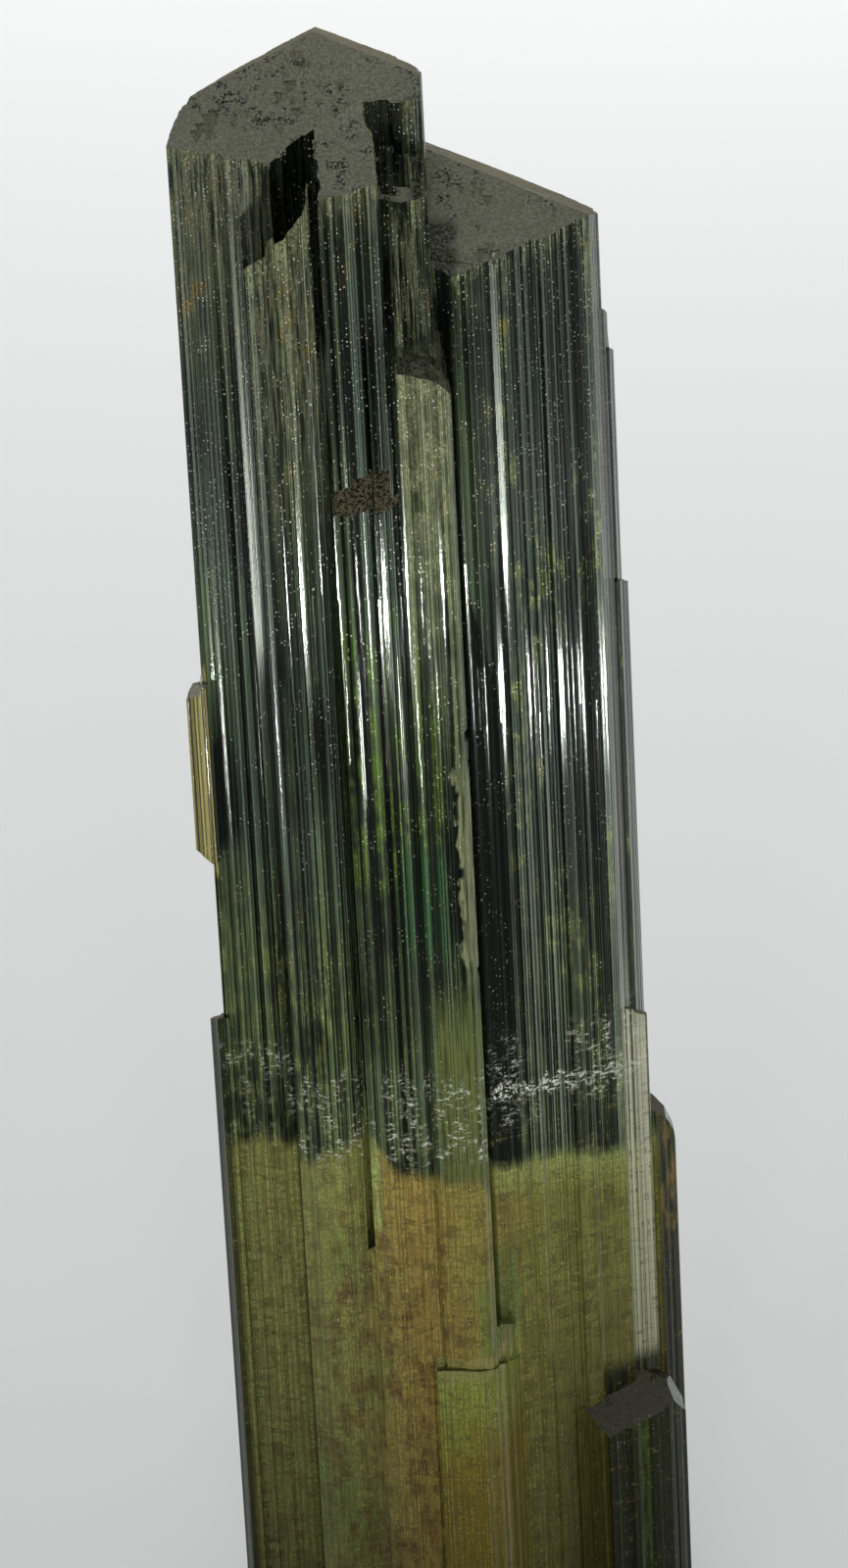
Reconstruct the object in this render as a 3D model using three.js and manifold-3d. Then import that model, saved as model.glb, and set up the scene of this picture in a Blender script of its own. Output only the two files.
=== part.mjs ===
import * as THREE from "three";
import { mergeVertices } from "three/addons/utils/BufferGeometryUtils.js";
import Module from "manifold-3d";

// A bicolour tourmaline specimen: striated prisms that grew side by side along one axis.
// Millimetres. +Z is the crystal axis, X runs across the broad front, -Y is the front,
// and the flat cut where the specimen broke from its rock is at z = 0.

const wasm = await Module();
wasm.setup();

// Driving dimensions
const height = 96.4; // from the cut to the tall crystal's point
const terminationDip = THREE.MathUtils.degToRad(27.3); // the three sloping faces at each point
const terminationTurns = [-90, 30, 150]; // which way those faces look, in degrees from +X
const tallPoint = new THREE.Vector3(-3.75, 3.5, height);
const rightPoint = new THREE.Vector3(1.5, 3.7, height - 6.7);
const ribPitch = 0.62; // mean width of one lengthwise rib
const ribRelief = 0.17; // how far the ribs step in and out
const tableDrop = 3.1; // the small table beside the right notch, below the tall crystal's face
const ledgeHeight = 73.7; // front rim of the rough ledge in the middle of the front
const climbHeight = 92.2; // top right corner of the slab whose broken top climbs to the right
const shoulderHeight = 81.5; // top of the round-shouldered slab beside the deep groove
const fillHeight = 25.4; // top of the low fill in the groove
const stepHeight = 22.6; // the thin step across the front, low down
const slotFillHeight = 30.2; // where the slot left of the middle opens
const leftSlabHeight = 42.4; // top of the long thin slab low on the left
const backSlabHeight = 31.9; // top of the round-shouldered crystal low at the back right
const smallPoint = new THREE.Vector3(10.6, -0.6, 17.0); // the small crystal at the front right
const farAway = 60; // size of the cutting blocks, well past the specimen

// A repeatable value from 0 to 1 for a seed and an index.
function chance(seed, index) {
  const wave = Math.sin(seed * 127.1 + index * 311.7 + 13.3) * 43758.5453;
  return wave - Math.floor(wave);
}

// A closed geometry as a solid that can be joined and cut.
function solid(geometry) {
  const bare = geometry.clone();
  bare.deleteAttribute("normal");
  bare.deleteAttribute("uv");
  const merged = mergeVertices(bare, 1e-5);
  return new wasm.Manifold(new wasm.Mesh({
    numProp: 3,
    vertProperties: new Float32Array(merged.getAttribute("position").array),
    triVerts: new Uint32Array(merged.getIndex().array),
  }));
}

// The straight sides between corners broken into narrow lengthwise ribs. The ribs at the
// ends of a side lie in its plane, so the corners stay sharp.
function ribbed(corners, seed, relief = ribRelief) {
  const points = [];
  corners.forEach(([startX, startY], side) => {
    const [endX, endY] = corners[(side + 1) % corners.length];
    const length = Math.hypot(endX - startX, endY - startY);
    const outX = (endY - startY) / length;
    const outY = (startX - endX) / length;
    const ribs = relief > 0 ? Math.round(length / ribPitch) : 0;
    points.push(new THREE.Vector2(startX, startY));
    for (let rib = 0; ribs > 2 && rib < ribs; rib += 1) {
      const key = side * 50 + rib;
      const atEnd = rib === 0 || rib === ribs - 1;
      const step = atEnd ? 0 : relief * (chance(seed + 2, key) - 0.5) * 2;
      const left = (rib + 0.1 + 0.2 * chance(seed, key)) / ribs;
      const right = (rib + 0.7 + 0.2 * chance(seed + 1, key)) / ribs;
      const parts = [left, right].filter((part, end) => rib !== (ribs - 1) * end);
      for (const part of parts) {
        points.push(new THREE.Vector2(
          startX + (endX - startX) * part + outX * step,
          startY + (endY - startY) * part + outY * step,
        ));
      }
    }
  });
  return points;
}

// An upright prism on a ribbed plan, from the cut to a height.
function prism(corners, seed, top, relief) {
  const shape = new THREE.Shape(ribbed(corners, seed, relief));
  return solid(new THREE.ExtrudeGeometry(shape, { depth: top, bevelEnabled: false }));
}

// A block seen from the front as an outline of x and z, running right through in depth.
// Its top leans forward by the given slope about the plane y = hingeY.
function frontBlock(outline, slope = 0, hingeY = 0) {
  const shape = new THREE.Shape(outline.map(([x, z]) => new THREE.Vector2(x, z)));
  const block = new THREE.ExtrudeGeometry(shape, { depth: farAway, bevelEnabled: false });
  block.rotateX(Math.PI / 2).translate(0, farAway / 2, 0);
  const lean = new THREE.Matrix4().makeShear(0, 0, 0, slope, 0, 0);
  return solid(block.translate(0, -hingeY, 0).applyMatrix4(lean).translate(0, hingeY, 0));
}

// A broken edge between two points of a front outline, as teeth of uneven height.
function brokenEdge([startX, startZ], [endX, endZ], teeth, bite, seed) {
  const points = [];
  for (let tooth = 0; tooth < teeth; tooth += 1) {
    const key = tooth * 3;
    const drop = bite * chance(seed, key);
    for (const part of [(tooth + 0.1) / teeth, (tooth + 0.9) / teeth]) {
      const tilt = bite * 0.4 * chance(seed + 5, key + part);
      points.push([startX + (endX - startX) * part, startZ + (endZ - startZ) * part - drop - tilt]);
    }
  }
  return points;
}

// Everything above one sloping face through a point.
function aboveFace(point, turn) {
  const block = new THREE.BoxGeometry(farAway, farAway, farAway);
  block.translate(0, 0, farAway / 2).rotateY(terminationDip);
  block.rotateZ(THREE.MathUtils.degToRad(turn)).translate(point.x, point.y, point.z);
  return solid(block);
}

// The three-faced point of a crystal.
function pointed(body, point) {
  return terminationTurns.reduce((left, turn) => left.subtract(aboveFace(point, turn)), body);
}

// The height of the front face of a point, at a distance from it.
function faceHeight(point, y) {
  return point.z - Math.tan(terminationDip) * Math.abs(point.y - y);
}

// Small three-sided etch pits scattered over a patch of a front face.
function pitted(body, point, patch) {
  let result = body;
  for (let pit = 0; pit < patch.count; pit += 1) {
    const turn = chance(patch.seed, pit) * Math.PI * 2;
    const reach = patch.radius * Math.sqrt(chance(patch.seed + 1, pit));
    const size = patch.size * (0.6 + 0.8 * chance(patch.seed + 2, pit));
    const x = patch.x + reach * Math.cos(turn) * patch.stretch;
    const y = patch.y + reach * Math.sin(turn);
    const cone = new THREE.CylinderGeometry(size * 0.5, size * 0.22, size * 0.9, 3);
    cone.rotateX(Math.PI / 2).scale(1, 1 + chance(patch.seed + 3, pit), 1);
    cone.rotateX(-terminationDip).translate(x, y, faceHeight(point, y));
    result = result.subtract(solid(cone));
  }
  return result;
}

// The tall crystal: a flank, a forward middle column and two notches, under one point.
function tallCrystal() {
  const plan = [
    [-11.7, -3.6], [-8.9, -4.15], [-8.75, -4.6], [-7.7, -4.5], [-6.4, -5.0], [-4.0, -2.9],
    [-3.95, -7.5], [-2.5, -7.2], [-0.75, -6.6], [-0.8, -4.2], [-1.35, -1.3], [1.3, -1.35],
    [1.72, -0.9], [1.7, 2.0], [1.6, 6.0], [0.4, 8.6], [-2.6, 9.0], [-5.6, 7.6],
    [-8.3, 4.6], [-9.6, 1.8], [-10.45, -0.4],
  ];
  const pits = [
    { x: -4.3, y: 0.6, radius: 1.9, stretch: 1.1, count: 10, size: 0.6, seed: 3 },
    { x: -6.9, y: -1.6, radius: 1.5, stretch: 1.6, count: 9, size: 0.55, seed: 8 },
    { x: -9.3, y: -2.6, radius: 0.9, stretch: 1.3, count: 5, size: 0.85, seed: 14 },
  ];
  const body = pointed(prism(plan, 1, height + 1), tallPoint);
  return pits.reduce((left, patch) => pitted(left, tallPoint, patch), body);
}

// The right crystal: narrow facets towards the groove, a broad front and a grooved side.
function rightCrystal() {
  const plan = [
    [1.2, -3.2], [2.75, -4.95], [4.35, -4.25], [6.25, -3.35], [10.3, -1.45], [10.65, -0.1],
    [10.9, 2.0], [10.7, 4.4], [9.2, 6.4], [6.4, 7.9], [3.2, 8.7], [0.4, 8.4], [0.2, 3.0],
  ];
  const pits = [
    { x: 5.2, y: 0.2, radius: 2.3, stretch: 1.0, count: 9, size: 0.55, seed: 21 },
    { x: 4.1, y: -3.6, radius: 0.7, stretch: 2.0, count: 5, size: 0.7, seed: 27 },
  ];
  const body = pointed(prism(plan, 5, rightPoint.z + 1), rightPoint);
  return pits.reduce((left, patch) => pitted(left, rightPoint, patch), body);
}

// The small table in the right notch, parallel to the tall crystal's front face. Below its
// rim a row of narrow blades ends steeply, each at its own height.
function notchTable() {
  const rimY = -3.9;
  const steepness = 1.9;
  const table = new THREE.Vector3(tallPoint.x, tallPoint.y, tallPoint.z - tableDrop);
  const rimHeight = faceHeight(table, rimY);
  const plan = [
    [-1.0, rimY], [0.4, rimY - 0.4], [1.4, rimY - 0.2],
    [1.8, rimY + 0.3], [1.7, -0.8], [-1.6, -0.9],
  ];
  const pieces = [prism(plan, 9, height).subtract(aboveFace(table, -90))];
  const widths = [0.34, 0.5, 0.3, 0.42, 0.36, 0.5, 0.32];
  let left = -1.0;
  widths.forEach((width, index) => {
    const front = -8.5 - 0.25 * chance(71, index);
    const top = rimHeight - 2.2 * chance(73, index);
    const right = left + width + 0.03;
    const blade = [
      [left, front + 0.1], [right - 0.1, front], [right, front + 0.15],
      [right, -2.5], [left, -2.5],
    ];
    const outline = [[-4, -1], [4, -1], [4, top + 0.6], [-4, top - 0.6]];
    pieces.push(prism(blade, 75, height, 0).intersect(frontBlock(outline, steepness, rimY)));
    left += width;
  });
  return pieces;
}

// The slab left of the middle, with a broken top that climbs to the right.
function climbingSlab() {
  const plan = [
    [-8.0, -4.0], [-7.95, -7.4], [-6.9, -8.1], [-5.6, -8.3],
    [-4.4, -8.0], [-4.35, -4.0], [-4.6, -2.4],
  ];
  const outline = [
    [-9, -1], [-3, -1], [-4.05, climbHeight], [-4.45, climbHeight - 0.3], [-4.6, climbHeight - 1.3],
    ...brokenEdge([-4.75, climbHeight - 1.6], [-7.3, climbHeight - 3.8], 5, 0.6, 31),
    [-7.8, climbHeight - 4.6], [-9, climbHeight - 5.6],
  ];
  return prism(plan, 12, height).intersect(frontBlock(outline, -0.42, -8.1));
}

// The front slab below the rough ledge.
function ledgeSlab() {
  const plan = [
    [-4.1, -5.0], [-4.05, -8.8], [-3.0, -9.15],
    [-1.2, -9.2], [-0.5, -8.9], [-0.3, -5.0],
  ];
  const outline = [
    [-5, -1], [1, -1],
    ...brokenEdge([0.4, ledgeHeight + 1.2], [-4.6, ledgeHeight], 9, 0.45, 41),
  ];
  return prism(plan, 16, height).intersect(frontBlock(outline, 0.6, -8.9));
}

// The slab with a round shoulder that overhangs the deep groove, nicked along its free edge.
function shoulderSlab() {
  const plan = [[-0.5, -5.0], [-0.4, -9.1], [0.9, -9.5], [2.2, -9.2], [2.5, -8.7], [2.2, -4.6]];
  const radius = 2.1;
  const outline = [[-2, -1], [4, -1], [4, 0], [2.55, 0]];
  for (let step = 0; step <= 5; step += 1) {
    const turn = (step / 5) * (Math.PI / 2);
    outline.push([
      2.55 - radius + radius * Math.cos(turn),
      shoulderHeight - radius + radius * Math.sin(turn),
    ]);
  }
  outline.push([-2, shoulderHeight]);
  const nicks = [{ z: 60.6, size: 1.3 }, { z: 59.0, size: 0.9 }, { z: 46.6, size: 1.0 }];
  let body = prism(plan, 19, height).intersect(frontBlock(outline, 0.3, -9.2));
  for (const nick of nicks) {
    const bite = new THREE.CylinderGeometry(nick.size * 0.5, nick.size * 0.35, 3, 6);
    body = body.subtract(solid(bite.rotateZ(0.25).translate(2.75, -8.6, nick.z)));
  }
  return body;
}

// Low fills of the groove, and the thin step across the front near the cut.
function grooveFill() {
  const fillPlan = [[1.0, -8.4], [2.6, -7.9], [3.6, -5.2], [3.5, -3.6], [1.0, -3.6]];
  const fillTop = brokenEdge([4.2, fillHeight - 1], [1.2, fillHeight], 4, 0.8, 51);
  const fillOutline = [[0, -1], [5, -1], ...fillTop];
  const stepPlan = [
    [-1.1, -8.6], [-1.0, -9.6], [1.6, -9.75], [2.9, -8.4],
    [3.75, -5.0], [3.2, -4.0], [0, -6],
  ];
  const stepTop = brokenEdge([4.4, stepHeight], [-1.4, stepHeight], 6, 0.4, 55);
  const stepOutline = [[-2, -1], [5, -1], ...stepTop];
  const fill = prism(fillPlan, 23, 40).intersect(frontBlock(fillOutline, -0.4, -8));
  return fill.add(prism(stepPlan, 26, 40).intersect(frontBlock(stepOutline, -0.42, -9.4)));
}

// Low down the slot between the left slab and the middle one is grown shut.
function slotFill() {
  const plan = [[-4.7, -3.0], [-4.75, -8.0], [-4.4, -8.2], [-4.0, -8.7], [-3.8, -8.7], [-3.8, -3.0]];
  const top = brokenEdge([-3.4, slotFillHeight + 0.6], [-5.0, slotFillHeight - 0.4], 3, 0.5, 57);
  return prism(plan, 28, 40, 0).intersect(frontBlock([[-6, -1], [-3, -1], ...top], -0.4, -8.2));
}

// Thin slabs on the right crystal's side, each with its own broken top.
function sideSlabs() {
  const slabs = [
    { plan: [[10.2, -0.9], [10.95, 0.6], [11.2, 2.6], [10.6, 4.8], [9.4, 4.0]], top: 82.2 },
    { plan: [[10.3, 0.2], [11.2, 1.4], [11.5, 3.4], [10.8, 5.4], [9.2, 4.6]], top: 79.6 },
    { plan: [[10.0, -0.2], [11.3, 1.0], [11.8, 3.6], [11.2, 5.2], [9.6, 6.2]], top: 66.3 },
    { plan: [[10.4, -0.8], [11.1, -0.6], [11.8, -0.2], [11.85, 1.4], [10.6, 1.8]], top: 40.4 },
  ];
  return slabs.map(({ plan, top }, index) => {
    const edge = brokenEdge([12.4, top - 0.9], [9.8, top], 4, 0.6, 61 + index);
    const outline = [[8, -1], [13, -1], ...edge, [8, top]];
    const slab = prism(plan, 29 + index * 3, height, ribRelief * 0.8);
    return slab.intersect(frontBlock(outline, -0.35, 0));
  });
}

// Slabs on the left edge: a steep shoulder at the top, a short one, and a long one to the cut.
function leftSlabs() {
  const shoulderPlan = [[-11.75, -3.5], [-10.6, -3.9], [-10.2, -1.6], [-11.0, -1.2]];
  const shoulder = prism(shoulderPlan, 41, height, 0.08).subtract(aboveFace(tallPoint, -90));
  const shortPlan = [[-12.65, -3.6], [-11.5, -4.3], [-11.1, -2.2], [-12.3, -1.8]];
  const shortOutline = [
    ...brokenEdge([-13, 52.9], [-11, 51.6], 3, 0.7, 44), [-10, 52],
    [-10, 62.6], ...brokenEdge([-11.2, 62.4], [-12.5, 62.0], 2, 0.4, 46), [-12.8, 61.2],
  ];
  const longPlan = [
    [-12.5, -3.2], [-12.1, -3.9], [-11.4, -4.0],
    [-11.0, -1.4], [-11.9, -0.6], [-12.4, -1.4],
  ];
  const longOutline = [
    [-14, -1], [-9, -1], [-9, leftSlabHeight - 2], [-11.2, leftSlabHeight - 0.6],
    ...brokenEdge([-11.4, leftSlabHeight], [-12.6, leftSlabHeight], 2, 0.3, 48),
    [-14, leftSlabHeight - 0.4],
  ];
  return [
    shoulder,
    prism(shortPlan, 43, height, 0.1).intersect(frontBlock(shortOutline)),
    prism(longPlan, 45, height, 0.12).intersect(frontBlock(longOutline, -0.4, -3.6)),
  ];
}

// The round-shouldered crystal that shows past the right side, low at the back.
function backRightCrystal() {
  const plan = [[10.2, 1.4], [12.3, 1.9], [13.3, 3.0], [13.15, 4.6], [11.9, 5.9], [9.6, 6.0]];
  const radius = 2.0;
  const right = 13.35;
  const outline = [[8, -1], [right, -1]];
  for (let step = 0; step <= 4; step += 1) {
    const turn = (step / 4) * (Math.PI / 2);
    outline.push([
      right - radius + radius * Math.cos(turn),
      backSlabHeight - 1.4 * radius + 1.4 * radius * Math.sin(turn),
    ]);
  }
  outline.push([8, backSlabHeight]);
  return prism(plan, 51, height, 0.1).intersect(frontBlock(outline, -0.2, 4));
}

// The small pointed crystal at the front right, with a steep bevel on its outer shoulder.
function smallCrystal() {
  const plan = [
    [7.2, -2.9], [8.6, -4.8], [12.1, -3.1], [13.1, -1.9],
    [13.0, -0.6], [11.4, 0.6], [8.6, -0.6],
  ];
  const bevel = [[6, -1], [14, -1], [14, 13.2], [12.15, 16.4], [11.4, 20], [6, 20]];
  return pointed(prism(plan, 55, 30, 0.1), smallPoint).intersect(frontBlock(bevel));
}

// Columns that thicken the back, each under its own sloping face.
function backColumns() {
  const columns = [
    { plan: [[-9.8, 1.0], [-6.0, 4.0], [-5.2, 7.6], [-7.4, 8.0], [-10.2, 4.6], [-10.9, 2.0]],
      top: 70.4, turn: 150 },
    { plan: [[-6.6, 5.0], [-2.0, 6.0], [-1.6, 9.5], [-4.2, 9.9], [-6.8, 8.4]], top: 84.3, turn: 150 },
    { plan: [[-2.6, 6.0], [2.6, 6.0], [2.8, 9.3], [0.4, 9.8], [-2.2, 9.6]], top: 58.8, turn: 30 },
    { plan: [[2.0, 5.6], [6.6, 5.4], [7.4, 8.2], [5.0, 9.3], [2.2, 9.5]], top: 76.5, turn: 30 },
    { plan: [[6.0, 4.4], [9.6, 3.6], [10.2, 6.6], [8.4, 8.2], [6.2, 8.2]], top: 47.6, turn: 30 },
    { plan: [[-11.2, -0.8], [-9.2, -1.0], [-9.0, 3.2], [-10.4, 3.4], [-11.5, 1.2]], top: 35.2, turn: 150 },
  ];
  return columns.map(({ plan, top, turn }, index) => {
    const [x, y] = plan[0];
    const face = aboveFace(new THREE.Vector3(x, y, top), turn);
    return prism(plan, 61 + index * 3, height).subtract(face);
  });
}

const growths = [
  tallCrystal(), rightCrystal(), climbingSlab(), ledgeSlab(), shoulderSlab(), grooveFill(), slotFill(),
  backRightCrystal(), smallCrystal(), ...notchTable(), ...sideSlabs(), ...leftSlabs(), ...backColumns(),
];
const joined = growths.reduce((whole, growth) => whole.add(growth));
const { vertProperties, triVerts } = joined.getMesh();
const geometry = new THREE.BufferGeometry();
geometry.setAttribute("position", new THREE.BufferAttribute(vertProperties, 3));
geometry.setIndex(new THREE.BufferAttribute(triVerts, 1));
geometry.computeVertexNormals();

// The origin is the middle of the footprint box, on the cut.
geometry.computeBoundingBox();
const middle = geometry.boundingBox.getCenter(new THREE.Vector3());
geometry.translate(-middle.x, -middle.y, 0);

const crystal = new THREE.Mesh(geometry, new THREE.MeshStandardMaterial({
  color: 0x39463a,
  roughness: 0.22,
  metalness: 0,
  flatShading: true,
}));
crystal.name = "tourmaline_crystal";

const specimen = new THREE.Group();
specimen.add(crystal);

export default specimen;
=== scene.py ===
import bpy
import bmesh
import math
import random
from mathutils import Matrix, Vector, noise


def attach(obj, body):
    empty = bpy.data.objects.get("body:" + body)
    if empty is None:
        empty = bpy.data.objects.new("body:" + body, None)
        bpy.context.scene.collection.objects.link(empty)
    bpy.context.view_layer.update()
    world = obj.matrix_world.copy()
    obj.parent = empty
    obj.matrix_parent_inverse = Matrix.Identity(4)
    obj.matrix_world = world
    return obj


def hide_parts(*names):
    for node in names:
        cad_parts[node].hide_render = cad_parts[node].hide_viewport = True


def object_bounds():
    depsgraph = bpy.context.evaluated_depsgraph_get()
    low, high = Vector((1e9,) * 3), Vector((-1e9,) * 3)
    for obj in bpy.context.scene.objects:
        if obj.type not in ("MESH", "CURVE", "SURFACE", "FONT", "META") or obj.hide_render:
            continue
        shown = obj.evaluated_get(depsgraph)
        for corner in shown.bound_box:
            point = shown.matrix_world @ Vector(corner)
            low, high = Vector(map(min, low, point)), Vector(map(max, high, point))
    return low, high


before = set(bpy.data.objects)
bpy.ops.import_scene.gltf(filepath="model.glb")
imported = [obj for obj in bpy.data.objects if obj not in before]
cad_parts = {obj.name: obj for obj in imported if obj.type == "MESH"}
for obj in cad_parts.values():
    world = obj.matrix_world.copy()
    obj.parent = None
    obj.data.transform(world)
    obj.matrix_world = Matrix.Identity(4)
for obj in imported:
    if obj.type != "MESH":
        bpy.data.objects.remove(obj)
lowBefore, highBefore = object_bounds()
scene = bpy.context.scene
mm = 0.001


def seenColour(red, green, blue):
    # a colour as a screen shows it, 0 to 255, turned into the linear values that sockets take
    linear = []
    for part in (red, green, blue):
        part = part / 255
        linear.append(part / 12.92 if part <= 0.04045 else ((part + 0.055) / 1.055) ** 2.4)
    return (*linear, 1.0)


def addNode(tree, kind, settings=None, inputs=None):
    made = tree.nodes.new(kind)
    for key, value in (settings or {}).items():
        setattr(made, key, value)
    for key, value in (inputs or {}).items():
        if isinstance(value, bpy.types.NodeSocket):
            tree.links.new(value, made.inputs[key])
        else:
            made.inputs[key].default_value = value
    return made


def maths(tree, operation, first, second=0.0, third=0.0):
    return addNode(tree, "ShaderNodeMath", {"operation": operation},
                   {0: first, 1: second, 2: third}).outputs[0]


def scaled(tree, value, times):
    return maths(tree, "MULTIPLY", value, times)


def uneven(tree, value, roughening, reach):
    # a place or height that wavers with a noise
    return maths(tree, "MULTIPLY_ADD", roughening, reach, value)


def ranged(tree, value, low, high, to=(0.0, 1.0)):
    # nought at low and one at high, or the two values given
    return addNode(tree, "ShaderNodeMapRange", None,
                   {"Value": value, "From Min": low, "From Max": high,
                    "To Min": to[0], "To Max": to[1]}).outputs[0]


def both(tree, *masks):
    result = masks[0]
    for mask in masks[1:]:
        result = maths(tree, "MULTIPLY", result, mask)
    return result


def either(tree, *masks):
    result = masks[0]
    for mask in masks[1:]:
        result = maths(tree, "MAXIMUM", result, mask)
    return result


def within(tree, value, low, high, soft):
    # one between low and high, fading over soft outside them
    return both(tree, ranged(tree, value, low - soft, low), ranged(tree, value, high + soft, high))


def near(tree, value, middle, reach):
    # one where a value is close to the middle, for thin lines along a noise
    away = maths(tree, "ABSOLUTE", maths(tree, "SUBTRACT", value, middle))
    return ranged(tree, away, reach, reach * 0.4)


def mixed(tree, share, first, second, blend="MIX"):
    return addNode(tree, "ShaderNodeMix", {"data_type": "RGBA", "blend_type": blend},
                   {0: share, 6: first, 7: second}).outputs[2]


def mixedValue(tree, share, first, second):
    return addNode(tree, "ShaderNodeMix", {"data_type": "FLOAT"},
                   {0: share, 2: first, 3: second}).outputs[0]


def stretched(tree, vector, scale, move=(0.0, 0.0, 0.0)):
    return addNode(tree, "ShaderNodeMapping", {"vector_type": "POINT"},
                   {"Vector": vector, "Scale": scale, "Location": move}).outputs[0]


def noiseOf(tree, vector, detail=2.0, roughness=0.5, dimensions="3D"):
    return addNode(tree, "ShaderNodeTexNoise", {"noise_dimensions": dimensions},
                   {"Vector": vector, "Scale": 1.0, "Detail": detail,
                    "Roughness": roughness}).outputs[0]


def wallNoise(tree, wall, scale, detail=2.0, roughness=0.5, move=(0.0, 0.0)):
    return noiseOf(tree, stretched(tree, wall, (*scale, 1.0), (*move, 0.0)), detail, roughness, "2D")


def dotsOf(tree, vector, size):
    # dots of one size, each with its own strength, and many left out
    cells = addNode(tree, "ShaderNodeTexVoronoi", {"voronoi_dimensions": "2D", "feature": "F1"},
                    {"Vector": vector, "Scale": 1.0, "Randomness": 1.0}).outputs
    own = addNode(tree, "ShaderNodeSeparateColor", None, {0: cells["Color"]}).outputs[0]
    return both(tree, ranged(tree, cells["Distance"], size, size * 0.6), ranged(tree, own, 0.5, 1.0))


def rampOf(tree, value, stops):
    made = addNode(tree, "ShaderNodeValToRGB", None, {0: value})
    elements = made.color_ramp.elements
    elements[0].position, elements[0].color = stops[0]
    elements[1].position, elements[1].color = stops[-1]
    for position, colour in stops[1:-1]:
        elements.new(position).color = colour
    return made.outputs[0]


def faceMark(tree, name):
    return addNode(tree, "ShaderNodeAttribute", {"attribute_name": name}).outputs["Fac"]


print("camera, floor and lights")
camera = {
    "target": (-0.325, -0.046, 54.0),   # mm, the point at the picture's middle
    "elevation": 24.0,                  # degrees above the horizon
    "roll": 3.0,
    "distance": 367.57,                 # mm
    "lens": 153.0,
    "sensor": 36.0,
}
lift, roll = math.radians(camera["elevation"]), math.radians(camera["roll"])
back = Vector((0, -math.cos(lift), math.sin(lift)))
level, upright = Vector((1, 0, 0)), Vector((0, math.sin(lift), math.cos(lift)))
right = math.cos(roll) * level - math.sin(roll) * upright
up = math.sin(roll) * level + math.cos(roll) * upright
lens = bpy.data.cameras.new("camera")
lens.sensor_width, lens.sensor_fit, lens.lens = camera["sensor"], "AUTO", camera["lens"]
lens.clip_start, lens.clip_end = 0.01, 20.0
view = bpy.data.objects.new("camera", lens)
scene.collection.objects.link(view)
view.matrix_world = Matrix((right, up, back)).transposed().to_4x4()
view.matrix_world.translation = (Vector(camera["target"]) + back * camera["distance"]) * mm
scene.camera = view
scene.view_settings.view_transform = "Standard"

floorLooks = {
    "half": 2.0,                             # metres
    "colour": seenColour(231, 233, 232),
    "roughness": 0.75,
    "specular": 0.2,
}
bm = bmesh.new()
bmesh.ops.create_grid(bm, x_segments=1, y_segments=1, size=floorLooks["half"])
floorMesh = bpy.data.meshes.new("floor")
bm.to_mesh(floorMesh)
bm.free()
floor = bpy.data.objects.new("floor", floorMesh)
scene.collection.objects.link(floor)
paper = bpy.data.materials.new("pale paper")
paper.use_nodes = True
paperShader = paper.node_tree.nodes["Principled BSDF"]
paperShader.inputs["Base Color"].default_value = floorLooks["colour"]
paperShader.inputs["Roughness"].default_value = floorLooks["roughness"]
paperShader.inputs["Specular IOR Level"].default_value = floorLooks["specular"]
floorMesh.materials.append(paper)

studio = {
    "colour": seenColour(250, 252, 255),
    "strength": 0.20,
}
world = bpy.data.worlds.new("studio")
scene.world = world
world.use_nodes = True
world.node_tree.nodes["Background"].inputs["Color"].default_value = studio["colour"]
world.node_tree.nodes["Background"].inputs["Strength"].default_value = studio["strength"]


def softLight(name, spot, aim, size, power, spread=180.0):
    lamp = bpy.data.lights.new(name, "AREA")
    lamp.shape = "RECTANGLE"
    lamp.size, lamp.size_y = size[0] * mm, size[1] * mm
    lamp.energy = power
    lamp.spread = math.radians(spread)
    made = bpy.data.objects.new(name, lamp)
    scene.collection.objects.link(made)
    spot, aim = Vector(spot) * mm, Vector(aim) * mm
    made.location = spot
    made.rotation_euler = (spot - aim).to_track_quat("Z", "Y").to_euler()
    made.visible_camera = False


# name, place and aim in mm, size in mm, power in watts
softLight("window behind", (80, 700, 460), (0, 280, 0), (400, 300), 4.2)
softLight("soft top", (0, 60, 900), (0, 0, 0), (700, 700), 1.1)
softLight("soft front", (-60, -420, 760), (0, -160, 0), (500, 400), 0.84)

lowStrips = [
    # turn about the crystal in degrees, distance, height of the middle, width, height of the strip, power
    (-91, 100, 31.5, 8, 5, 0.0310),
    (-30, 100, 20.5, 4, 5, 0.0075),
    (-140, 100, 21.0, 3, 8, 0.0060),
]
stripRise = 0.42     # a strip looks up by this share of its distance
stripSpread = 80
for number, (turn, far, height, wide, tall, power) in enumerate(lowStrips):
    side = Vector((math.cos(math.radians(turn)), math.sin(math.radians(turn)), 0))
    softLight(f"low strip {number + 1}", side * far + Vector((0, 0, height)),
              Vector((0, 0, height + far * stripRise)), (wide, tall), power, stripSpread)

print("crystal shape")
crystal = {
    "merge": 0.002,           # mm, corners closer than this are one
    "flatten": 0.6,           # degrees, bends in the walls smaller than this go
    "sideways": 1.6,          # a side face points this much more sideways than forwards
    "step": 0.14,             # mm between fine grooves
    "gaps": (0.4, 1.8),       # how uneven that is, times the step
    "rows": 4.0,              # mm between the cuts along the crystal
    "depth": 0.085,           # mm, how far a groove goes in
    "rightFrom": 3.4,         # mm, where the calmer right crystal starts
    "flankTo": -7.4,          # mm, where the calmest left flank ends
    "rightCalm": 0.55,        # share of the depth there
    "flankCalm": 0.33,
    "endSlope": 0.62,         # faces that look up more than this are end faces
    "seed": 7,
}
steps = random.Random(crystal["seed"])
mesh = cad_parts["tourmaline_crystal"].data.copy()
mesh.name = "tourmaline"
tourmaline = bpy.data.objects.new("tourmaline", mesh)
scene.collection.objects.link(tourmaline)

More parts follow.
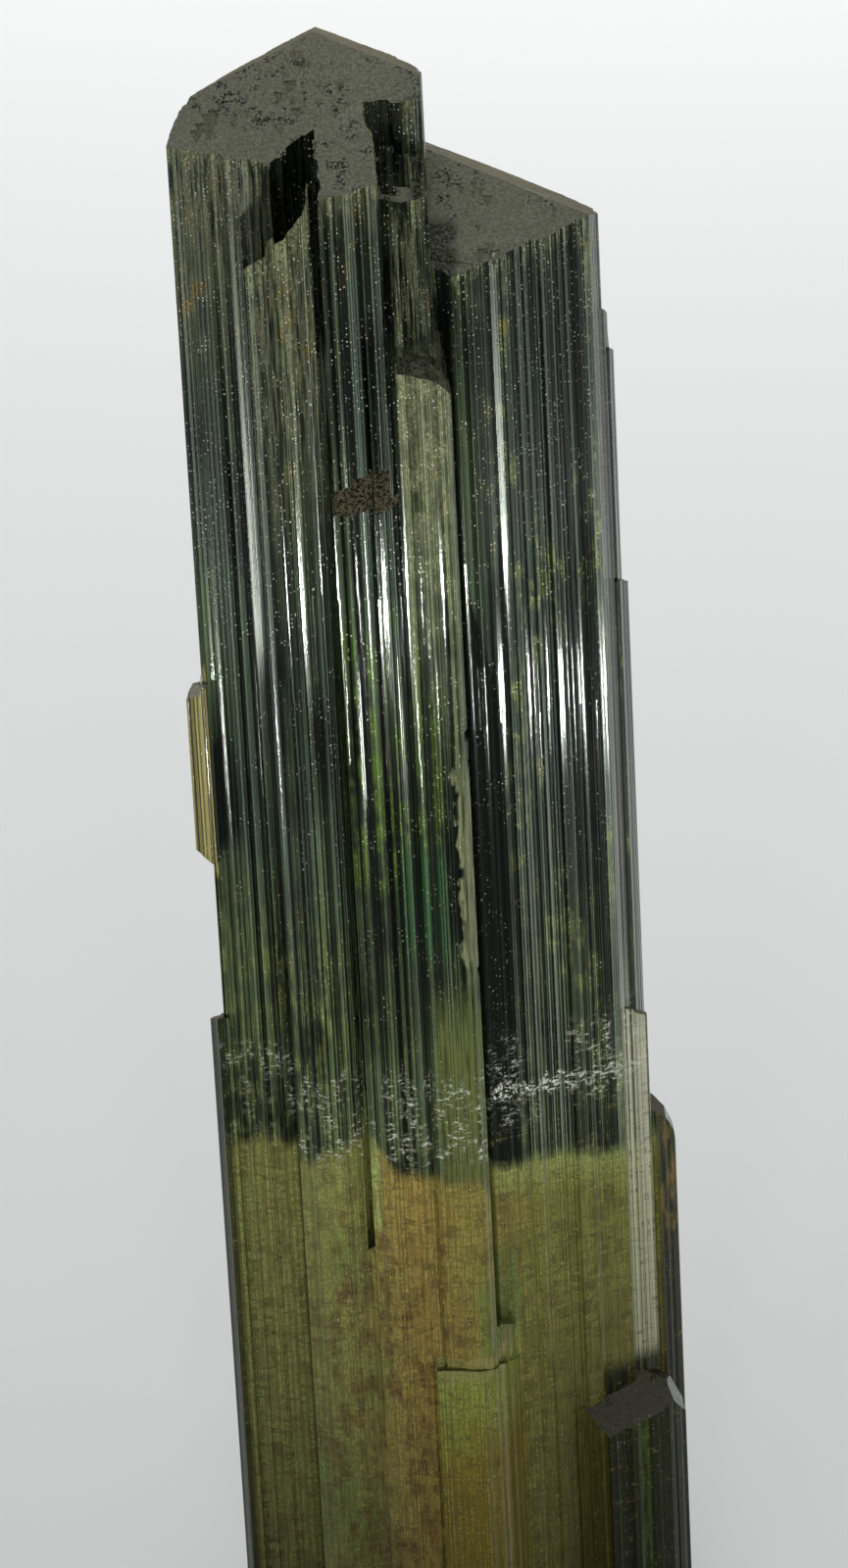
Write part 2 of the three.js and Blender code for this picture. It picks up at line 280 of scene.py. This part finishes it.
bm = bmesh.new()
bm.from_mesh(mesh)
bmesh.ops.remove_doubles(bm, verts=bm.verts, dist=crystal["merge"] * mm)
bm.normal_update()
wallEdges = [e for e in bm.edges if all(abs(f.normal.z) < 0.2 for f in e.link_faces)]
bmesh.ops.dissolve_limit(bm, angle_limit=math.radians(crystal["flatten"]), verts=[], edges=wallEdges)
bm.normal_update()
sideFaces = bm.faces.layers.float.new("sideFace")
for face in bm.faces:
    face[sideFaces] = float(abs(face.normal.x) > abs(face.normal.y) * crystal["sideways"])


def isWall(face):
    return abs(face.normal.z) < 0.5


def wallPieces(mesh):
    walls = [f for f in mesh.faces if isWall(f)]
    edges = {e for f in walls for e in f.edges}
    corners = {v for f in walls for v in f.verts}
    return walls + list(edges) + list(corners)


def cutThrough(mesh, pieces, low, high, gap, along):
    # planes across one direction, with uneven gaps
    at = low
    while at < high:
        at += gap * steps.uniform(*crystal["gaps"])
        pieces = bmesh.ops.bisect_plane(mesh, geom=pieces, dist=1e-7,
                                        plane_co=Vector(along) * at * mm, plane_no=along)["geom"]
    return pieces


def grooveShare(spot):
    # how deep the grooves are at a place, nought to one: long fine lines on broader ones
    fine = noise.noise(Vector((spot.x * 6.1, spot.y * 6.1, spot.z * 0.015)))
    broad = noise.noise(Vector((spot.x * 2.3 + 9, spot.y * 2.3, spot.z * 0.03)))
    share = min(1.0, max(0.0, 0.5 + 0.75 * fine + 0.45 * broad))
    if spot.x > crystal["rightFrom"]:
        return share * crystal["rightCalm"]
    if spot.x < crystal["flankTo"]:
        return share * crystal["flankCalm"]
    return share


low, high = lowBefore / mm, highBefore / mm
walls = wallPieces(bm)
walls = cutThrough(bm, walls, low.x, high.x, crystal["step"], (1, 0, 0))
walls = cutThrough(bm, walls, low.y, high.y, crystal["step"], (0, 1, 0))
walls = cutThrough(bm, walls, low.z + 1, high.z, crystal["rows"], (0, 0, 1))
bm.normal_update()
inward = {}
for corner in bm.verts:
    out = sum((f.normal for f in corner.link_faces if isWall(f)), Vector())
    out.z = 0
    if corner.co.z < 0.01 * mm or out.length < 0.3:     # the foot's rim and the end faces stay
        continue
    inward[corner] = -out.normalized() * grooveShare(corner.co / mm) * crystal["depth"] * mm
for corner, move in inward.items():
    corner.co += move
bm.normal_update()


def inPitted(spot):
    # the two places at the top where pits go into the end faces
    left = -9.7 < spot.x < -2.3 and -3.2 < spot.y < 3.0
    onRight = 2.3 < spot.x < 7.5 and -3.2 < spot.y < 2.8
    return spot.z > 80 and (left or onRight)


def onLedge(face, spot):
    return -5 < spot.x < 0.5 and spot.y < -5 and 70 < spot.z < 75.5 and face.normal.z > 0.2


marks = {name: bm.faces.layers.float.new(name) for name in ("endFace", "rimFace", "brokenFace")}
for face in bm.faces:
    face.smooth = False
    middle = face.calc_center_median() / mm
    atEnd = face.normal.z > crystal["endSlope"] or (inPitted(middle) and abs(face.normal.z) > 0.02)
    face[marks["endFace"]] = float(atEnd)
    face[marks["rimFace"]] = float(atEnd and face.normal.y > 0.1)
    face[marks["brokenFace"]] = float(onLedge(face, middle))
bm.to_mesh(mesh)
bm.free()
print("crystal faces", len(mesh.polygons))

print("crystal material")
looks = {
    "transmission": 0.55,
    "ior": 1.63,
    "specular": 0.4,
    "mirror": seenColour(110, 115, 108),    # tint of what the faces reflect head on
    "absorption": seenColour(140, 165, 95),
    "density": 80.0,                        # per metre
    "relief": 0.016,                        # mm, the finest lines
    "olive": seenColour(120, 121, 68),      # olive zone, left, middle and right
    "brown": seenColour(140, 120, 62),
    "green": seenColour(118, 118, 60),
    "brownMottle": seenColour(84, 70, 36),
    "limeLine": seenColour(134, 142, 82),   # just under the dark growth
    "stepGreen": seenColour(132, 138, 64),
    "stepAmber": seenColour(124, 110, 44),
    "rust": seenColour(84, 52, 32),
    "leaf": seenColour(98, 114, 60),
    "deepOlive": seenColour(98, 104, 56),   # dark zone from here on
    "black": seenColour(3, 6, 5),
    "deepGreen": seenColour(62, 76, 52),
    "deepBlue": seenColour(52, 61, 56),
    "glow": seenColour(66, 86, 26),
    "emerald": seenColour(42, 72, 42),
    "skin": seenColour(118, 119, 92),
    "brightSkin": seenColour(132, 136, 100),
    "amber": seenColour(132, 106, 40),
    "shortSlab": seenColour(146, 138, 88),
    # painted sheen: the colour of the pale lines that the striations reflect
    "paleSheenLine": seenColour(136, 147, 134),
    # painted reflection on the side low on the right
    "paleSideSheen": seenColour(196, 198, 172),
    "smallDark": seenColour(20, 24, 8),
    "ends": seenColour(192, 194, 170),
    "endGrain": seenColour(146, 144, 120),
    "endRim": seenColour(126, 116, 76),
    "pits": seenColour(40, 38, 28),
    "ledgeDark": seenColour(24, 22, 16),
    "ledgePale": seenColour(160, 150, 118),
    "dust": seenColour(240, 242, 228),
}
places = {
    # mm from the crystal's middle and foot: low, high and how far each fades
    "rust": {"x": (-6.8, -0.5, 1.5), "z": (6.0, 28.0, 6.0)},
    "leafStrip": {"x": (1.4, 3.4, 0.3), "z": (22.6, 27.0, 1.0)},
    "stepEdgeHighlight": {"x": (-1.2, 3.2, 0.1), "z": (21.8, 22.9, 0.1)},
    "slot": {"x": (-4.8, -3.9, 0.12), "z": (31.4, 36.6, 0.6)},
    "darkMiddle": {"x": (-4.4, 1.2, 0.3), "z": (44.0, 58.0, 3.0)},
    "glow": {"x": (-4.3, 0.2, 0.8), "z": (54.0, 66.0, 4.0)},
    "emerald": {"x": (-1.5, 0.2, 0.7), "z": (48.5, 53.3, 2.0)},
    "shoulderRim": {"x": (-0.5, 2.3, 0.2), "z": (80.0, 82.0, 0.6)},
    "leftNotch": {"x": (-6.7, -4.25, 0.1), "y": (-7.2, -2.8, 0.1)},
    "rightNotch": {"x": (-1.3, 0.3, 0.3), "y": (-4.4, -1.0, 0.1)},
}
halfWidth = 12.0      # mm, a little inside the crystal's own
growthHeights = [     # mm across, and the height where the dark growth starts there
    (-12, 34.3), (-9.5, 34.4), (-6.9, 35.4), (-4.3, 36.6), (-3.9, 36.5), (-2.9, 34.5),
    (1.6, 34.0), (2.4, 32.6), (6.0, 32.4), (12.0, 31.0)]
growthLow, growthHigh = 30.0, 40.0      # mm, what nought and one on that ramp stand for

glass = bpy.data.materials.new("tourmaline")
glass.use_nodes = True
tree = glass.node_tree
tree.nodes.clear()
mesh.materials.clear()
mesh.materials.append(glass)

place = addNode(tree, "ShaderNodeTexCoord").outputs["Object"]
inMm = stretched(tree, place, (1000, 1000, 1000))
x, y, z = addNode(tree, "ShaderNodeSeparateXYZ", None, {0: inMm}).outputs
axes = {"x": x, "y": y, "z": z}
isEnd, isRim = faceMark(tree, "endFace"), faceMark(tree, "rimFace")
isBroken, isSide = faceMark(tree, "brokenFace"), faceMark(tree, "sideFace")
# across a wall and up it, with the side faces set apart so that they don't repeat the front
across = mixedValue(tree, isSide, x, maths(tree, "ADD", y, 40.0))
wall = addNode(tree, "ShaderNodeCombineXYZ", None, {0: across, 1: z}).outputs[0]


def inPlace(tree, name):
    return both(tree, *[within(tree, axes[axis], *limits) for axis, limits in places[name].items()])


# lines along the growth, from fine to broad, then marks across it, then clouds and grain
hair = wallNoise(tree, wall, (12.0, 0.008), 1.0, 0.5)
line = wallNoise(tree, wall, (4.4, 0.006), 2.0, 0.6, (5, 3))
band = wallNoise(tree, wall, (0.9, 0.014), 1.0, 0.5, (2, 7))
scratch = wallNoise(tree, wall, (6.5, 0.4), 1.0, 0.6, (31, 12))
cross = wallNoise(tree, wall, (0.35, 1.6), 1.0, 0.6, (11, 4))
flake = wallNoise(tree, wall, (1.9, 4.2), 2.0, 0.8, (7, 21))
cloud = noiseOf(tree, stretched(tree, inMm, (0.28, 0.28, 0.10)), 2.0, 0.55)
mottle = noiseOf(tree, stretched(tree, inMm, (1.2, 1.2, 0.6)), 2.0, 0.7)
grain = noiseOf(tree, stretched(tree, inMm, (6.5, 6.5, 5.0)), 2.0, 0.7)

# the dark growth starts at its own height on each face
fromLeft = ranged(tree, x, -halfWidth, halfWidth)
growthStops = [((at + halfWidth) / (2 * halfWidth),
                (*[(height - growthLow) / (growthHigh - growthLow)] * 3, 1))
               for at, height in growthHeights]
growth = ranged(tree, rampOf(tree, fromLeft, growthStops), 0.0, 1.0, (growthLow, growthHigh))
growth = maths(tree, "ADD", growth, ranged(tree, mottle, 0.3, 0.7, (-0.25, 0.25)))
above = maths(tree, "SUBTRACT", z, growth)
isDark = ranged(tree, above, -0.4, 0.5)

# olive zone
lowBody = rampOf(tree, fromLeft, [(0.22, looks["olive"]), (0.42, looks["brown"]), (0.75, looks["green"])])
leafCloud = both(tree, ranged(tree, cloud, 0.5, 0.62, (0.0, 0.7)), ranged(tree, x, -7.0, -3.0, (1.0, 0.3)))
lowBody = mixed(tree, leafCloud, lowBody, looks["leaf"])
brownCloud = both(tree, ranged(tree, mottle, 0.46, 0.62, (0.0, 0.6)), ranged(tree, cross, 0.38, 0.55))
lowBody = mixed(tree, brownCloud, lowBody, looks["brownMottle"])
rustSpot = both(tree, inPlace(tree, "rust"), ranged(tree, mottle, 0.46, 0.56),
                ranged(tree, scratch, 0.42, 0.52), ranged(tree, grain, 0.40, 0.54))
lowBody = mixed(tree, scaled(tree, rustSpot, 0.8), lowBody, looks["rust"])
leafStrip = both(tree, inPlace(tree, "leafStrip"), ranged(tree, scratch, 0.35, 0.6))
lowBody = mixed(tree, leafStrip, lowBody, looks["leaf"])
onStep = both(tree, within(tree, x, -1.2, 3.4, 0.2), ranged(tree, z, 22.9, 22.3))
lowBody = mixed(tree, onStep, lowBody, looks["stepGreen"])
amberStep = both(tree, onStep, ranged(tree, uneven(tree, z, mottle, 8.0), 24.0, 20.0))
lowBody = mixed(tree, amberStep, lowBody, looks["stepAmber"])
underGrowth = both(tree, ranged(tree, above, -2.4, -0.4), ranged(tree, x, 1.5, 3.0))
lowBody = mixed(tree, underGrowth, lowBody, looks["limeLine"])
# painted shade: darker and browner towards the foot on the right, beside the small crystal
brownFootShade = both(tree, ranged(tree, x, 3.5, 6.5), ranged(tree, z, 24.0, 14.0, (0.0, 0.6)))
lowBody = mixed(tree, brownFootShade, lowBody, looks["brownMottle"])
slotSpot = both(tree, inPlace(tree, "slot"), ranged(tree, scratch, 0.35, 0.5))
lowBody = mixed(tree, slotSpot, lowBody, looks["limeLine"])

# dark zone
highBody = mixed(tree, ranged(tree, cloud, 0.38, 0.60), looks["black"], looks["deepGreen"])
blueBands = either(tree, ranged(tree, band, 0.46, 0.60, (0.0, 0.7)), ranged(tree, x, 3.6, 4.4, (0.0, 0.8)))
highBody = mixed(tree, both(tree, ranged(tree, z, 42.0, 54.0), blueBands), highBody, looks["deepBlue"])
lowMottle = both(tree, ranged(tree, x, -4.2, -5.2, (0.5, 1.0)), ranged(tree, z, 53.0, 46.0),
                 ranged(tree, mottle, 0.42, 0.58, (0.1, 0.7)), ranged(tree, scratch, 0.36, 0.5))
highBody = mixed(tree, lowMottle, highBody, looks["deepOlive"])
highBody = mixed(tree, scaled(tree, inPlace(tree, "darkMiddle"), 0.4), highBody, looks["black"])
glowSpot = both(tree, inPlace(tree, "glow"), ranged(tree, mottle, 0.40, 0.6), ranged(tree, line, 0.38, 0.55))
highBody = mixed(tree, glowSpot, highBody, looks["glow"])
emeraldSpot = both(tree, inPlace(tree, "emerald"), ranged(tree, line, 0.40, 0.6))
highBody = mixed(tree, emeraldSpot, highBody, looks["emerald"])

# frosted skins on the blades, the left flank and the round shoulder
skinPlace = either(tree, within(tree, x, -8.2, -4.3, 0.1), within(tree, x, -0.4, 1.6, 0.4),
                   ranged(tree, z, 88, 91))
skinSpot = both(tree, within(tree, x, -8.2, 1.6, 0.4), skinPlace,
                ranged(tree, uneven(tree, z, mottle, 12.0), 76, 88), ranged(tree, scratch, 0.35, 0.6))
flankSkin = both(tree, ranged(tree, x, -7.6, -8.4), ranged(tree, uneven(tree, z, mottle, 10.0), 84, 96),
                 ranged(tree, scratch, 0.32, 0.5))
highBody = mixed(tree, either(tree, skinSpot, flankSkin), highBody, looks["skin"])
onShoulder = ranged(tree, y, -7.6, -8.4)
shoulderSkin = both(tree, onShoulder, within(tree, x, -0.6, 2.2, 0.2),
                    ranged(tree, uneven(tree, z, cloud, 20.0), 70, 86),
                    ranged(tree, mottle, 0.32, 0.58, (0.25, 1.0)))

# chipped rims: the climbing broken top, the shoulder's top and the rims of the end faces
climb = maths(tree, "MULTIPLY_ADD", x, 0.863, 93.9)
brokenRim = both(tree, within(tree, x, -8.2, -4.4, 0.2), ranged(tree, y, -6.8, -7.0),
                 ranged(tree, maths(tree, "SUBTRACT", z, climb), -1.6, -0.6), ranged(tree, grain, 0.36, 0.5))
endSlopes = maths(tree, "MULTIPLY_ADD", y, 0.516, ranged(tree, x, 1.5, 1.7, (94.6, 87.8)))
chips = both(tree, ranged(tree, maths(tree, "SUBTRACT", z, endSlopes), -1.3, -0.2),
             ranged(tree, mottle, 0.42, 0.55), ranged(tree, grain, 0.40, 0.52))
shoulderRim = both(tree, inPlace(tree, "shoulderRim"), ranged(tree, grain, 0.36, 0.5))
greenSpot = both(tree, ranged(tree, x, 3.4, 4.4), ranged(tree, cloud, 0.49, 0.58),
                 ranged(tree, mottle, 0.49, 0.60), ranged(tree, grain, 0.38, 0.54, (0.2, 0.9)))
highBody = mixed(tree, greenSpot, highBody, looks["limeLine"])
brightSpot = either(tree, brokenRim, shoulderRim, shoulderSkin, chips)
highBody = mixed(tree, brightSpot, highBody, looks["brightSkin"])
topSkin = both(tree, ranged(tree, x, 2.0, 3.5), ranged(tree, uneven(tree, z, cloud, 16.0), 88, 95),
               ranged(tree, scratch, 0.35, 0.6), ranged(tree, mottle, 0.40, 0.58))
highBody = mixed(tree, topSkin, highBody, looks["skin"])
amberSlab = both(tree, ranged(tree, x, -11.75, -11.9), within(tree, z, 51.0, 63.0, 0.5))
highBody = mixed(tree, amberSlab, highBody, looks["shortSlab"])
amberSpot = both(tree, ranged(tree, z, 70, 84), ranged(tree, cloud, 0.55, 0.63),
                 ranged(tree, mottle, 0.5, 0.6), ranged(tree, grain, 0.42, 0.56))
highBody = mixed(tree, amberSpot, highBody, looks["amber"])
body = mixed(tree, isDark, lowBody, highBody)

# streaks along the growth, partly the crystal's own banding and partly painted shade in the fine grooves with
# painted sheen on the ridges between: strong in the dark zone, weaker on the skins, faint in the olive zone
streaks = maths(tree, "MULTIPLY", ranged(tree, line, 0.36, 0.60, (0.05, 1.35)),
                ranged(tree, hair, 0.38, 0.60, (0.3, 1.35)))
skinStreaks = maths(tree, "MULTIPLY", maths(tree, "MULTIPLY_ADD", streaks, 0.4, 0.5),
                    ranged(tree, grain, 0.36, 0.64, (0.55, 1.4)))
lowStreaks = both(tree, ranged(tree, hair, 0.32, 0.66, (0.72, 1.22)),
                  ranged(tree, scratch, 0.32, 0.66, (0.84, 1.14)),
                  ranged(tree, grain, 0.36, 0.62, (0.80, 1.2)))
streaks = mixedValue(tree, either(tree, skinSpot, flankSkin, shoulderSkin), streaks, skinStreaks)
streaks = mixedValue(tree, isDark, lowStreaks, streaks)
streaksColour = addNode(tree, "ShaderNodeCombineColor", None, {0: streaks, 1: streaks, 2: streaks}).outputs[0]
body = mixed(tree, 1.0, body, streaksColour, "MULTIPLY")
# painted sheen: thin pale lines on the dark walls stand for what the striations reflect, on the right crystal
# and, stronger from 61 mm up, along the bands
rightSheenLines = both(tree, ranged(tree, x, 3.4, 4.0), ranged(tree, z, 64, 56, (0.6, 1.0)))
leftSheenLines = both(tree, ranged(tree, band, 0.4, 0.6, (0.25, 0.6)), ranged(tree, z, 61, 67, (0.3, 1.0)))
paleSheenLines = both(tree, isDark, ranged(tree, hair, 0.54, 0.66), ranged(tree, line, 0.42, 0.58, (0.1, 0.8)),
                 either(tree, rightSheenLines, leftSheenLines))
body = mixed(tree, paleSheenLines, body, looks["paleSheenLine"])

# the shoulder's pale free edge with its nicks, and its olive foot
edgeSide = uneven(tree, x, mottle, 1.6)
freeEdge = both(tree, onShoulder, within(tree, edgeSide, 2.2, 3.4, 0.2), within(tree, z, 47.6, 58.0, 2.5),
                ranged(tree, scratch, 0.34, 0.56, (0.3, 0.9)), ranged(tree, hair, 0.3, 0.5, (0.5, 0.9)))
body = mixed(tree, freeEdge, body, looks["brightSkin"])
lowShoulder = both(tree, onShoulder, isDark, within(tree, x, -0.3, 2.3, 0.2), ranged(tree, z, 46.0, 43.0),
                   ranged(tree, scratch, 0.34, 0.56, (0.45, 1.0)), ranged(tree, hair, 0.34, 0.56, (0.4, 1.0)))
body = mixed(tree, lowShoulder, body, looks["deepOlive"])

# painted shade: the deep groove is painted black, and wider below its middle, and so are the notches
grooveSide = ranged(tree, z, 68.0, 60.0, (2.4, 4.1))
grooveShade = both(tree, ranged(tree, maths(tree, "SUBTRACT", x, grooveSide), 0.15, -0.05),
                ranged(tree, x, 1.55, 1.75), ranged(tree, y, -8.4, -7.8), ranged(tree, y, 1.0, 0.0), isDark)
notchShade = either(tree, both(tree, inPlace(tree, "leftNotch"), ranged(tree, z, 80, 82)),
                 both(tree, inPlace(tree, "rightNotch"), ranged(tree, z, 88, 89, (0.0, 0.85))))
body = mixed(tree, scaled(tree, either(tree, grooveShade, notchShade), 0.96), body, looks["black"])

# painted reflection on the pale striped side low on the right, and the dark small crystals
paleSideSheen = both(tree, within(tree, x, 10.0, 11.6, 0.1), ranged(tree, z, 16.0, 17.0),
                ranged(tree, z, 44.0, 38.0, (0.12, 1.0)), ranged(tree, y, 0.6, 0.3),
                ranged(tree, hair, 0.40, 0.56, (0.15, 0.9)))
body = mixed(tree, paleSideSheen, body, looks["paleSideSheen"])
frontOne = both(tree, ranged(tree, x, 8.0, 8.3), ranged(tree, z, 18.5, 17.5), ranged(tree, y, 0.8, 0.2))
backOne = both(tree, ranged(tree, x, 11.7, 12.0), ranged(tree, z, 36, 34), ranged(tree, y, 0.9, 1.4))
leftOne = both(tree, ranged(tree, x, -11.9, -12.2), ranged(tree, z, 43.5, 42.5))
smallOnes = both(tree, either(tree, frontOne, backOne, leftOne), ranged(tree, line, 0.75, 0.40, (0.65, 1.0)))
body = mixed(tree, smallOnes, body, looks["smallDark"])
greenStrip = both(tree, within(tree, x, 9.95, 10.5, 0.1), ranged(tree, z, 17.0, 16.0),
                  ranged(tree, y, -1.0, -2.0), ranged(tree, mottle, 0.35, 0.5),
                  ranged(tree, scratch, 0.38, 0.6, (0.3, 1.0)))
body = mixed(tree, greenStrip, body, looks["glow"])
amberBack = both(tree, ranged(tree, x, 11.7, 12.0), within(tree, z, 25.0, 30.0, 2.0),
                 ranged(tree, mottle, 0.46, 0.56, (0.0, 0.7)))
body = mixed(tree, amberBack, body, looks["amber"])

# painted highlight along the step's upper edge, then dark cracks and pale scratches across the olive zone
stepEdgeHighlight = both(tree, inPlace(tree, "stepEdgeHighlight"), ranged(tree, y, -6.0, -7.0),
                ranged(tree, scratch, 0.38, 0.5, (0.2, 0.85)))
body = mixed(tree, stepEdgeHighlight, body, looks["shortSlab"])
cracks = both(tree, near(tree, cross, 0.5, 0.04), ranged(tree, z, 44, 32), ranged(tree, scratch, 0.46, 0.52))
body = mixed(tree, scaled(tree, cracks, 0.45), body, looks["pits"])
paleScratches = both(tree, near(tree, cross, 0.60, 0.02), ranged(tree, z, 40, 32),
                     ranged(tree, scratch, 0.44, 0.54))
body = mixed(tree, scaled(tree, paleScratches, 0.4), body, looks["shortSlab"])

# end faces: grainy and pitted, brown at the back, dark on the small crystal, lime on the step
endColour = mixed(tree, ranged(tree, grain, 0.38, 0.62), looks["ends"], looks["endGrain"])
endColour = mixed(tree, isRim, endColour, looks["endRim"])
pits = both(tree, ranged(tree, cloud, 0.46, 0.54), ranged(tree, mottle, 0.50, 0.58),
            ranged(tree, grain, 0.47, 0.53))
roughPatch = both(tree, within(tree, edgeSide, 1.6, 3.4, 0.5), within(tree, y, -5.5, -1.6, 0.6),
                  ranged(tree, grain, 0.62, 0.48))
endColour = mixed(tree, either(tree, pits, roughPatch), endColour, looks["pits"])
endColour = mixed(tree, ranged(tree, z, 40.0, 30.0, (0.0, 0.8)), endColour, looks["pits"])
onStepTop = both(tree, ranged(tree, z, 30.0, 28.0), ranged(tree, x, 5.0, 4.0))
endColour = mixed(tree, onStepTop, endColour, looks["limeLine"])
shoulderTop = both(tree, within(tree, z, 77.0, 83.5, 0.3), ranged(tree, y, -4.0, -4.6),
                   ranged(tree, mottle, 0.36, 0.5, (0.4, 1.0)))
shoulderColour = mixed(tree, ranged(tree, grain, 0.4, 0.6), looks["skin"], looks["pits"])
endColour = mixed(tree, shoulderTop, endColour, shoulderColour)
body = mixed(tree, isEnd, body, endColour)
ledgeColour = mixed(tree, ranged(tree, grain, 0.45, 0.55), looks["ledgeDark"], looks["ledgePale"])
body = mixed(tree, isBroken, body, ledgeColour)

# white marks: dust, the wavy row of fractures on the right crystal, and faint flakes at its height
dustHeight = maths(tree, "ADD", mottle, ranged(tree, z, 55, 92, (0.0, 0.06)))
dust = both(tree, dotsOf(tree, stretched(tree, wall, (4.8, 4.2, 1.0)), 0.2),
            ranged(tree, dustHeight, 0.46, 0.66, (0.0, 0.9)), ranged(tree, z, 50, 74, (0.45, 1.0)))
wave = uneven(tree, ranged(tree, x, -halfWidth, halfWidth, (36.8, 35.2)), mottle, 2.6)
fracture = both(tree, near(tree, maths(tree, "SUBTRACT", z, wave), 0.0, 0.6), ranged(tree, x, 2.4, 2.7),
                ranged(tree, flake, 0.46, 0.56), ranged(tree, grain, 0.38, 0.54, (0.1, 1.0)),
                ranged(tree, x, halfWidth, 3.0, (0.3, 1.0)))
faintOnes = both(tree, within(tree, z, 35.5, 40.0, 1.0), ranged(tree, flake, 0.52, 0.70),
                 ranged(tree, cloud, 0.42, 0.52), ranged(tree, mottle, 0.42, 0.60, (0.0, 0.5)))
whiteMarks = either(tree, dust, fracture, faintOnes)
colour = mixed(tree, whiteMarks, body, looks["dust"])

# walls shine, except for the frosted upper flank and right crystal, and end faces are matt
frosted = either(tree, both(tree, ranged(tree, x, -7.3, -7.6), ranged(tree, z, 62, 68)),
                 both(tree, ranged(tree, x, 3.3, 3.8), ranged(tree, z, 67, 72)))
wallRough = mixedValue(tree, frosted, ranged(tree, line, 0.3, 0.7, (0.06, 0.12)), 0.26)
roughness = mixedValue(tree, isEnd, wallRough, ranged(tree, grain, 0.35, 0.65, (0.45, 0.65)))
roughness = mixedValue(tree, either(tree, isRim, isBroken), roughness, 0.85)
roughness = mixedValue(tree, whiteMarks, roughness, 0.6)

relief = both(tree, maths(tree, "MULTIPLY_ADD", hair, 0.25, line), maths(tree, "SUBTRACT", 1.0, isEnd))
grooves = addNode(tree, "ShaderNodeBump", None,
                  {"Strength": 1.0, "Distance": looks["relief"] * mm, "Height": relief})

shader = addNode(tree, "ShaderNodeBsdfPrincipled", None, {
    "Base Color": colour, "Roughness": roughness, "IOR": looks["ior"],
    "Specular IOR Level": looks["specular"], "Specular Tint": looks["mirror"],
    "Transmission Weight": looks["transmission"], "Normal": grooves.outputs[0]})
inside = addNode(tree, "ShaderNodeVolumeAbsorption", None, {
    "Color": looks["absorption"], "Density": looks["density"]})
addNode(tree, "ShaderNodeOutputMaterial", None, {
    "Surface": shader.outputs[0], "Volume": inside.outputs[0]})

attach(tourmaline, "root")
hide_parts("tourmaline_crystal")
